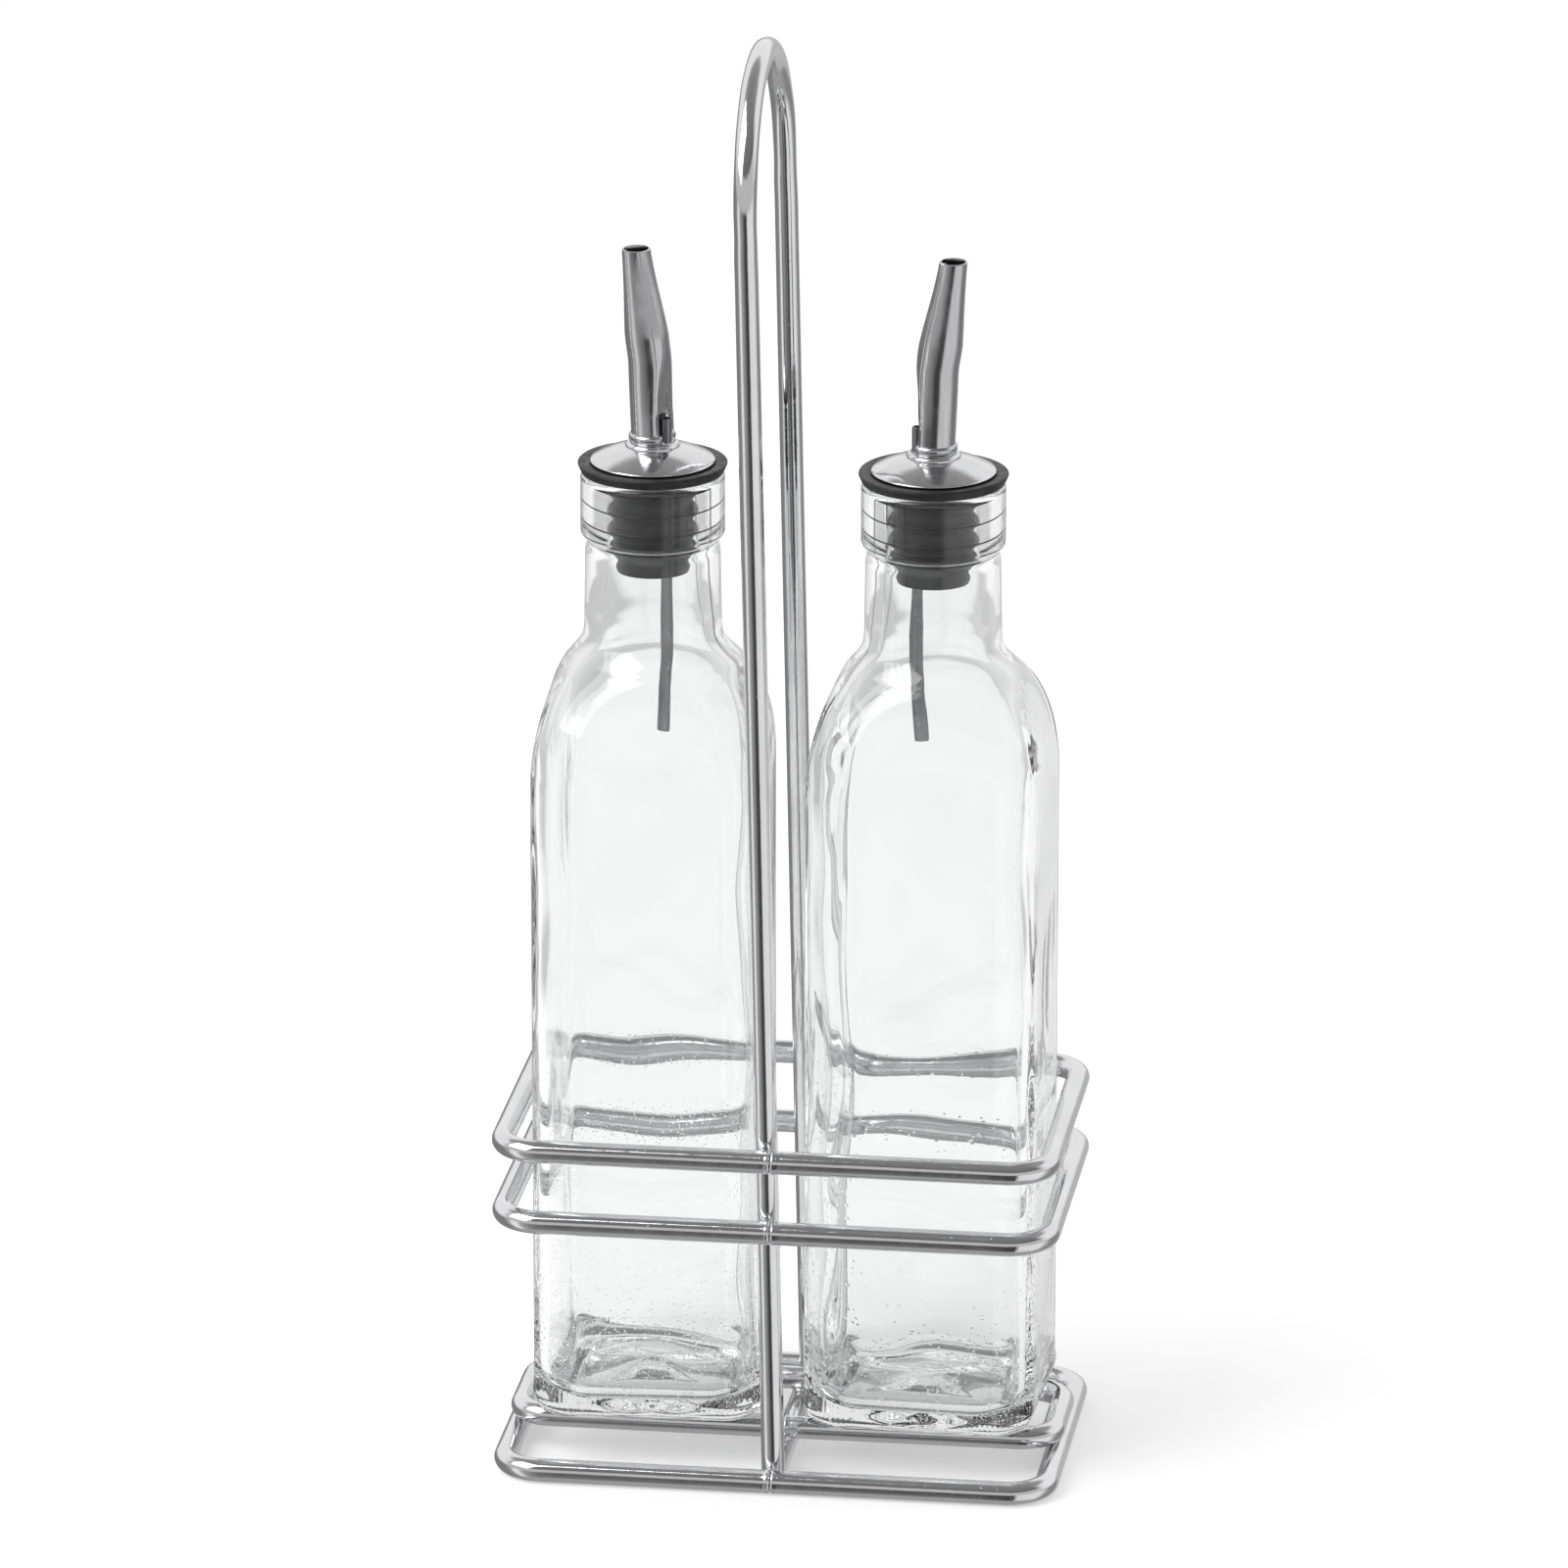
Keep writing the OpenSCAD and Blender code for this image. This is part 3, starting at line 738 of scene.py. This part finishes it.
COLLAR_Z = CAP_Z + 3.15 * MM
FOOT_Z = COLLAR_Z + 3.2 * MM
RIB_COUNT = 4
LATHE_AROUND = 160
FERRULE_R = 5.2 * MM
FERRULE_BORE_R = 4.6 * MM
THROAT_R = 4.45 * MM
THROAT_BORE_R = 3.55 * MM
TUBE_X = 3.25 * MM
TUBE_R = 1.1 * MM
TUBE_WALL = 0.3 * MM
SPOUT_R = 4.3 * MM
TIP_R = 2.9 * MM
SPOUT_WALL = 0.5 * MM
BEND_Z = 28 * MM
DENT_DEPTH = 2.5 * MM
SPOUT_AROUND = 192
SPOUT_THETA = np.linspace(-math.pi, math.pi, SPOUT_AROUND, endpoint=False)


def lathe(profile):
    """Closed solid of revolution from a closed loop of (radius, z) points clear of the axis."""
    angles = np.linspace(0, 2 * math.pi, LATHE_AROUND, endpoint=False)
    cos, sin = np.cos(angles), np.sin(angles)
    rows = [np.stack([r * cos, r * sin, np.full(LATHE_AROUND, z)], axis=1) for r, z in profile]
    return skin(rows, wrap=True)


def stopper_profile():
    """Ribbed plug from its lower end up, then the flange with its drafted rim and rounded edges.

    Worked out in millimetres and given in metres. The ribs press a little into the glass.
    """
    flange_r, bore = 14.9, 5.25
    plug_r, rib_r, end_r = 7.9, 9.15, 7.2
    plug = PLUG_H / MM
    points = [(bore, -plug + 0.25), (bore + 0.25, -plug)]
    points += [(end_r - 0.3, -plug)] + arc(end_r - 0.3, -plug + 0.3, 0.3, -80, 0, 4)
    points += [(plug_r, -plug + 2.0)]
    pitch = (plug - 2 - 2) / RIB_COUNT
    for i in range(RIB_COUNT, 0, -1):
        foot = -i * pitch - 0.6
        points += [(plug_r + 0.02, foot - 0.35), (plug_r + 0.12, foot + 0.05)]
        points += [(plug_r + 0.55, foot + 0.75)] + arc(rib_r - 0.26, foot + 1.85, 0.35, -40, 85, 8)
        points += [(plug_r + 0.55, foot + 2.12), (plug_r + 0.12, foot + 2.05)]
        points += [(plug_r, foot + 2.35)]
    points += [(plug_r, -0.35)] + arc(plug_r + 0.35, 0.0, 0.35, 180, 150, 3)
    points += [(flange_r - 1.1, 0.0)] + arc(flange_r - 0.9, 0.32, 0.32, -90, -15, 5)
    points += arc(flange_r - 0.38, 1.62, 0.38, -10, 90, 8)
    points += [(13.4, 2.0), (12.75, 1.97), (12.6, 1.9), (12.0, 1.9), (bore + 0.3, 1.9), (bore, 1.7)]
    return [(r * MM, z * MM) for r, z in points]


def make_stopper(side, rubber):
    """Stopper whose flange is a little wavy at its rim."""
    verts, faces = lathe(stopper_profile())
    verts = np.array(verts)
    x, y, z = verts.T
    rim = smoothstep((np.hypot(x, y) - 12.8 * MM) / (1.6 * MM)) * (z > 0.2 * MM)
    phase = 1 if side == "left" else 3
    verts[:, 2] += 0.09 * MM * rim * np.sin(2 * np.arctan2(y, x) + phase)
    verts = place(verts, AXIS_X[side], SEAT_Z, TUBE_TURN[side])
    return mesh_object("rubber_stopper_" + side, verts, faces, rubber, "stopper_" + side,
                       ["stopper_" + side])


def dome_profile():
    """Pressed dome from its rolled rim up to the collar bead, then back down its underside."""
    cap = CAP_Z / MM
    collar = COLLAR_Z / MM
    rim_r, sphere_r, throat = 12.45, 25.0, 4.47
    centre = cap + 0.4 - math.sqrt(sphere_r ** 2 - rim_r ** 2)
    outer = arc(rim_r - 0.22, cap + 0.24, 0.22, -90, 40, 7)
    for r in np.linspace(12.15, 6.2, 26):
        outer.append((r, centre + math.sqrt(sphere_r ** 2 - r ** 2)))
    start = outer[-1][1]
    outer += [(5.80, start + 0.12), (5.42, start + 0.28), (5.20, start + 0.42)]
    outer += arc(4.50, collar + 0.05, 0.95, -38, 86, 18)
    under = [(throat, collar + 0.7), (throat, collar - 1.1)]
    for r in np.linspace(5.2, 11.7, 20):
        under.append((r, centre - 0.55 + math.sqrt(sphere_r ** 2 - r ** 2)))
    under += [(11.95, cap + 0.02)]
    return [(r * MM, z * MM) for r, z in outer + under]


def make_dome(side, steel):
    verts, faces = lathe(dome_profile())
    verts = place(verts, AXIS_X[side], SEAT_Z, TUBE_TURN[side])
    return mesh_object("pressed_dome_" + side, verts, faces, steel, "pourer_" + side,
                       ["dome_cap_" + side])


def spout_centre(z):
    """Sideways offset of the spout's axis: a slight lean, then the bend and the leaning tip."""
    above = z - FOOT_Z
    straight = math.tan(math.radians(2.6)) * above
    bent = 2.4 * MM * smoothstep((z - BEND_Z + 9 * MM) / (34 * MM))
    kink = 0.15 * MM * math.exp(-((z - BEND_Z + 5 * MM) / (2.6 * MM)) ** 2)
    return -(straight + bent - kink)


def spout_row(z, wall, seam_angle, notch):
    """One section of the spout at height z, wall metres inside its outer surface.

    It has a dent that makes room for the air tube, a seam, and a split by the seam at the tip that
    is as deep as notch says.
    """
    past_bend = max(z - BEND_Z, 0) / (TIP_TOP - BEND_Z)
    tip = smoothstep((z - BEND_Z + 2 * MM) / (TIP_TOP - BEND_Z + 2 * MM))
    tip = 0.5 * (tip + past_bend)
    swell = 0.10 * MM * math.exp(-((z - BEND_Z) / (5 * MM)) ** 2)
    radius = SPOUT_R + swell + (TIP_R - SPOUT_R) * tip
    above_tube = (z - TUBE_TOP) / MM
    depth = DENT_DEPTH * (1 - 0.52 * smoothstep((above_tube - 0.2) / 1.6))
    depth *= 1 - smoothstep((above_tube - 1.0) / 15.0)
    reach = math.radians(52 - 14 * smoothstep(above_tube / 12.0))
    from_tube = np.abs(SPOUT_THETA)
    dent = depth * (1 - smoothstep(from_tube / reach))
    fold = 0.22 * MM * depth / DENT_DEPTH * np.exp(-((from_tube - reach * 1.12) / 0.22) ** 2)
    off = (SPOUT_THETA - seam_angle + math.pi) % (2 * math.pi) - math.pi
    uneven = 1 + 0.5 * math.sin(z / MM * 5.1) * math.sin(z / MM * 1.7 + 1)
    seam = 0.07 * MM * uneven * np.exp(-((off - 0.05) / 0.05) ** 2)
    seam -= 0.10 * MM * np.exp(-((off + 0.04) / 0.045) ** 2)
    split = notch * 0.45 * MM * np.exp(-((off + 0.12) / 0.11) ** 2)
    split *= math.exp(-(TIP_TOP - z) / (1.6 * MM))
    squash = 1 - 0.04 * tip * np.cos(2 * SPOUT_THETA)
    radius = (radius - dent + fold) * squash + seam - split - wall
    return round_row(radius, z, spout_centre(z))


def round_row(radius, z, shift=0.0):
    """Points round the spout at height z, with their middle moved along X by shift."""
    return np.stack([shift + radius * np.cos(SPOUT_THETA), radius * np.sin(SPOUT_THETA),
                     np.full(SPOUT_AROUND, z)], axis=1)


def foot_bead(seam_angle):
    """Rolled bead round the spout's foot, cut away where the air tube passes."""
    rows = []
    bead_z = FOOT_Z - 1.25 * MM
    beside_tube = (1 - smoothstep(np.abs(SPOUT_THETA) / math.radians(50)))[:, None]
    for a in np.linspace(-65, 65, 13):
        angle = math.radians(a)
        bead = round_row((3.98 + 0.78 * math.cos(angle)) * MM, bead_z + 0.95 * MM * math.sin(angle))
        stem = spout_row(FOOT_Z + 0.2 * MM, 0, seam_angle, 0)
        stem[:, 2] = bead[:, 2]
        cut = beside_tube * smoothstep((a + 65) / 60)
        rows.append(bead * (1 - cut) + stem * cut)
    return rows


def make_spout(side, steel):
    """Ferrule inside the stopper, throat, foot bead and dented spout with an open tip."""
    seam, notch = SEAM_ANGLE[side], 1.0 if side == "right" else 0.3
    end_z = 0.6 * MM - PLUG_H
    rows = [round_row(FERRULE_R - 0.2 * MM, end_z), round_row(FERRULE_R, end_z + 0.2 * MM)]
    rows += [round_row(FERRULE_R, z) for z in np.linspace(end_z + 1 * MM, FLANGE_T - 0.3 * MM, 8)]
    rows += [round_row(FERRULE_R - 0.2 * MM, FLANGE_T - 0.02 * MM), round_row(THROAT_R, FLANGE_T)]
    throat = np.linspace(FLANGE_T + 0.3 * MM, FOOT_Z - 2.3 * MM, 6)
    rows += [round_row(THROAT_R, z) for z in throat]
    rows += foot_bead(seam)
    rows.append(spout_row(FOOT_Z - 0.2 * MM, 0, seam, 0))
    dent_top = TUBE_TOP + 2.5 * MM
    heights = np.concatenate([np.linspace(FOOT_Z, dent_top, 22),
                              np.linspace(dent_top, TIP_TOP, 70)[1:]])
    rows += [spout_row(z, 0, seam, notch) for z in heights[:-1]]
    rows.append(spout_row(TIP_TOP - 0.10 * MM, 0.0, seam, notch))
    rows.append(spout_row(TIP_TOP, 0.12 * MM, seam, notch))
    rows.append(spout_row(TIP_TOP, SPOUT_WALL - 0.1 * MM, seam, notch))
    rows += [spout_row(z, SPOUT_WALL, seam, notch) for z in heights[::-1][1:]]
    throat_bore = np.linspace(FOOT_Z - 1.5 * MM, FLANGE_T - 0.8 * MM, 6)
    rows += [round_row(THROAT_BORE_R, z) for z in throat_bore]
    ferrule_bore = np.linspace(FLANGE_T - 1 * MM, end_z + 0.1 * MM, 6)
    rows += [round_row(FERRULE_BORE_R, z) for z in ferrule_bore]
    rows.append(round_row(FERRULE_BORE_R + 0.15 * MM, end_z))
    verts, faces = skin(rows, wrap=True)
    verts = place(verts, AXIS_X[side], SEAT_Z, TUBE_TURN[side])
    return mesh_object("spout_tube_" + side, verts, faces, steel, "pourer_" + side,
                       ["spout_" + side])


def make_air_tube(side, steel):
    """Thin tube from beside the spout down into the bottle, crooked and flattened lower down."""
    count = 90
    zs = np.linspace(TUBE_TOP, TUBE_LOW + 0.2 * MM, count)
    depth = (TUBE_TOP - zs) / MM
    crook = 1.25 * MM * smoothstep((depth - 48) / 20)
    phase = 0 if side == "left" else 2
    wobble = 0.12 * MM * np.sin(depth / 9 + phase) * smoothstep((depth - 14) / 10)
    x = TUBE_X - crook + wobble * (1 - smoothstep((depth - 40) / 20))
    path = np.stack([x, np.zeros(count), zs], axis=1)
    radii = np.full(count, TUBE_R) - 0.05 * MM * np.exp(-((depth - 51) / 2.0) ** 2)
    flat = 0.22 * smoothstep((depth - 34) / 8)
    normal = np.array([0, 1.0, 0])
    outer = wire_rows(path, normal, radii, False)
    inner = wire_rows(path, normal, radii - TUBE_WALL, False)
    for rows in (outer, inner):
        for row, centre, squeeze in zip(rows, path, flat):
            row[:, 0] = centre[0] + (row[:, 0] - centre[0]) * (1 + squeeze)
            row[:, 1] *= 1 - 1.3 * squeeze
    for end in (0, -1):
        outer[end] = path[end] + (outer[end] - path[end]) * 0.95
    verts, faces = skin(outer + inner[::-1], wrap=True)
    verts = place(verts, AXIS_X[side], SEAT_Z, TUBE_TURN[side])
    return mesh_object("air_pipe_" + side, verts, faces, steel, "pourer_" + side,
                       ["air_tube_" + side])


# ---------- stage: camera, floor, light ----------

CAMERA_AZIMUTH = math.radians(7.8)
CAMERA_ELEVATION = math.radians(18.25)
CAMERA_DISTANCE = 2.4
CAMERA_TARGET = Vector((-0.0018, 0, 0.139))
CAMERA_LENS = 275.7  # millimetres
FLOOR_HALF_W, FLOOR_HALF_D, FLOOR_Y = 0.45, 1.1, 0.3
FLOOR_GLOW = 0.36
LIGHT_TARGET = Vector((0, 0, 0.1))

# Brightness of the studio's panels. Positions go from 0 to 1: once round from the front (-Y) by
# the left, the rear and the right, or from straight below to straight above.
AROUND_PANELS = (
    (0.0, 0.07), (0.015, 0.09), (0.03, 0.20), (0.115, 0.42), (0.135, 0.60), (0.15, 1.0),
    (0.185, 1.0), (0.205, 0.50), (0.25, 0.26), (0.45, 0.26), (0.50, 0.55), (0.575, 0.55),
    (0.60, 0.30), (0.695, 0.30), (0.74, 0.65), (0.77, 0.95), (0.92, 0.90), (0.945, 0.07),
    (1.0, 0.07))
FRONT_PANELS = ((0.44, 0.60), (0.70, 0.62), (0.735, 0.14), (0.80, 0.20), (1.0, 0.26))
REAR_PANELS = ((0.47, 0.45), (0.58, 1.0), (0.83, 1.0), (0.88, 0.40), (1.0, 0.26))
UNDERFOOT = 0.42

# Seen through glass, the panels are mixed by this share with an even grey.
VEIL_SHARE, VEIL_GREY = 0.66, 0.85


def make_camera():
    level = math.cos(CAMERA_ELEVATION)
    away = Vector((math.sin(CAMERA_AZIMUTH) * level, -math.cos(CAMERA_AZIMUTH) * level,
                   math.sin(CAMERA_ELEVATION)))
    data = bpy.data.cameras.new("camera")
    data.sensor_width = 36
    data.lens = CAMERA_LENS
    data.clip_end = 50
    camera = bpy.data.objects.new("camera", data)
    camera.location = CAMERA_TARGET + away * CAMERA_DISTANCE
    camera.rotation_euler = (-away).to_track_quat("-Z", "Y").to_euler()
    bpy.context.scene.collection.objects.link(camera)
    bpy.context.scene.camera = camera


def floor_material():
    """Matt white board that glows a little and fades out towards its rim."""
    n = Nodes("floor_board")
    n.color(n.noise(6, 3), (0.86, 0.86, 0.86), (0.90, 0.90, 0.90))
    n.roughness(n.noise(60, 3), 0.3, 0.7, 0.55, 0.7)
    n.bump([(n.noise(900, 3), 0.02 * MM)])
    n.set(Emission_Color=(1, 1, 1, 1), Emission_Strength=FLOOR_GLOW)
    x, y = n.axes()[:2]
    across = n.math("DIVIDE", x, FLOOR_HALF_W)
    along = n.math("DIVIDE", n.math("SUBTRACT", y, FLOOR_Y), FLOOR_HALF_D)
    n.link(n.span(n.squares(across, along), 0.3, 1.0, 1.0, 0.0), n.shader.inputs["Alpha"])
    return n.material


def make_floor():
    """Long and fairly narrow oval board that the metal does not reflect."""
    mesh = bpy.data.meshes.new("floor")
    rim = [(FLOOR_HALF_W * math.cos(a), FLOOR_Y + FLOOR_HALF_D * math.sin(a), 0)
           for a in np.linspace(0, 2 * math.pi, 96, endpoint=False)]
    mesh.from_pydata(rim, [], [tuple(range(len(rim)))])
    mesh.materials.append(floor_material())
    floor = bpy.data.objects.new("floor", mesh)
    floor.visible_glossy = False
    bpy.context.scene.collection.objects.link(floor)


def make_light(name, location, size, power, glossy):
    """Square area light that shines at the set; glossy says whether metal reflects it."""
    data = bpy.data.lights.new(name, "AREA")
    data.shape = "RECTANGLE"
    data.size = data.size_y = size
    data.energy = power
    light = bpy.data.objects.new(name, data)
    light.location = location
    light.rotation_euler = (LIGHT_TARGET - Vector(location)).to_track_quat("-Z", "Y").to_euler()
    light.visible_glossy = glossy
    light.visible_camera = False
    bpy.context.scene.collection.objects.link(light)


def ramp_node(tree, value, stops):
    """A grey ramp over value; stops are (position, brightness)."""
    node = tree.nodes.new("ShaderNodeValToRGB")
    tree.links.new(value, node.inputs["Fac"])
    elements = node.color_ramp.elements
    while len(elements) < len(stops):
        elements.new(0.5)
    for element, (spot, grey) in zip(elements, stops):
        element.position = spot
        element.color = (grey, grey, grey, 1)
    return node.outputs["Color"]


def range_node(tree, value, low, high, easing="SMOOTHSTEP"):
    """Turns the range low..high of value into 0..1."""
    node = tree.nodes.new("ShaderNodeMapRange")
    node.interpolation_type = easing
    node.inputs["From Min"].default_value = low
    node.inputs["From Max"].default_value = high
    tree.links.new(value, node.inputs["Value"])
    return node.outputs["Result"]


def mix_node(tree, factor, a, b):
    """Mixes a and b, each a grey level or a colour socket."""
    node = tree.nodes.new("ShaderNodeMix")
    node.data_type = "RGBA"
    tree.links.new(factor, node.inputs["Factor"])
    for name, source in (("A", a), ("B", b)):
        if isinstance(source, float):
            node.inputs[name].default_value = (source, source, source, 1)
        else:
            tree.links.new(source, node.inputs[name])
    return node.outputs["Result"]


def make_world():
    """A studio all round: bright panels with dark gaps, but plain white to the camera itself."""
    world = bpy.data.worlds.new("studio")
    world.use_nodes = True
    bpy.context.scene.world = world
    tree = world.node_tree
    split = tree.nodes.new("ShaderNodeSeparateXYZ")
    direction = tree.nodes.new("ShaderNodeTexCoord").outputs["Generated"]
    tree.links.new(direction, split.inputs["Vector"])
    x, y, z = split.outputs["X"], split.outputs["Y"], split.outputs["Z"]
    turn = tree.nodes.new("ShaderNodeMath")
    turn.operation = "ARCTAN2"
    tree.links.new(x, turn.inputs[0])
    tree.links.new(y, turn.inputs[1])
    turned = range_node(tree, turn.outputs["Value"], -math.pi, math.pi, "LINEAR")
    around = ramp_node(tree, turned, AROUND_PANELS)
    low = mix_node(tree, range_node(tree, z, -0.72, -0.92), around, UNDERFOOT)
    rise = range_node(tree, z, -1, 1, "LINEAR")
    front = ramp_node(tree, rise, FRONT_PANELS)
    rear = ramp_node(tree, rise, REAR_PANELS)
    high = mix_node(tree, range_node(tree, y, -0.2, 0.2), front, rear)
    shown = mix_node(tree, range_node(tree, z, -0.06, 0.04), low, high)
    rays = tree.nodes.new("ShaderNodeLightPath")
    veil = tree.nodes.new("ShaderNodeMath")
    veil.operation = "MULTIPLY"
    veil.inputs[1].default_value = VEIL_SHARE
    tree.links.new(rays.outputs["Is Transmission Ray"], veil.inputs[0])
    veiled = mix_node(tree, veil.outputs["Value"], shown, VEIL_GREY)
    plain = mix_node(tree, rays.outputs["Is Camera Ray"], veiled, 1.0)
    tree.links.new(plain, tree.nodes["Background"].inputs["Color"])


def make_stage():
    scene = bpy.context.scene
    scene.view_settings.view_transform = "Standard"
    scene.cycles.max_bounces = 36
    scene.cycles.transmission_bounces = 30
    scene.cycles.glossy_bounces = 30
    scene.cycles.transparent_max_bounces = 16
    make_camera()
    make_floor()
    make_world()
    make_light("key_softbox", (-1.2, -0.8, 1.5), 1.6, 24, glossy=True)
    make_light("top_softbox", (0.0, 0.1, 2.4), 3.0, 11, glossy=False)


def main():
    chrome = chrome_material()
    polished = polished_steel_material()
    satin = satin_steel_material()
    dull = tube_material()
    rubber = rubber_material()
    make_ring("base_ring", RING_BEND, chrome, 11)
    make_ring("lower_guard_ring", RING_BEND, chrome, 12)
    make_ring("upper_guard_ring", RING_BEND, chrome, 13)
    make_ring("shelf_ring", SHELF_BEND, chrome, 14)
    make_handle(chrome)
    make_cross_bar(chrome)
    make_welds(chrome)
    for side, seed, droplets in (("left", 21, 900), ("right", 35, 500)):
        make_bottle(side, seed, glass_material(side, droplets))
        make_stopper(side, rubber)
        make_dome(side, polished)
        make_spout(side, satin)
        make_air_tube(side, dull)
    make_stage()


main()
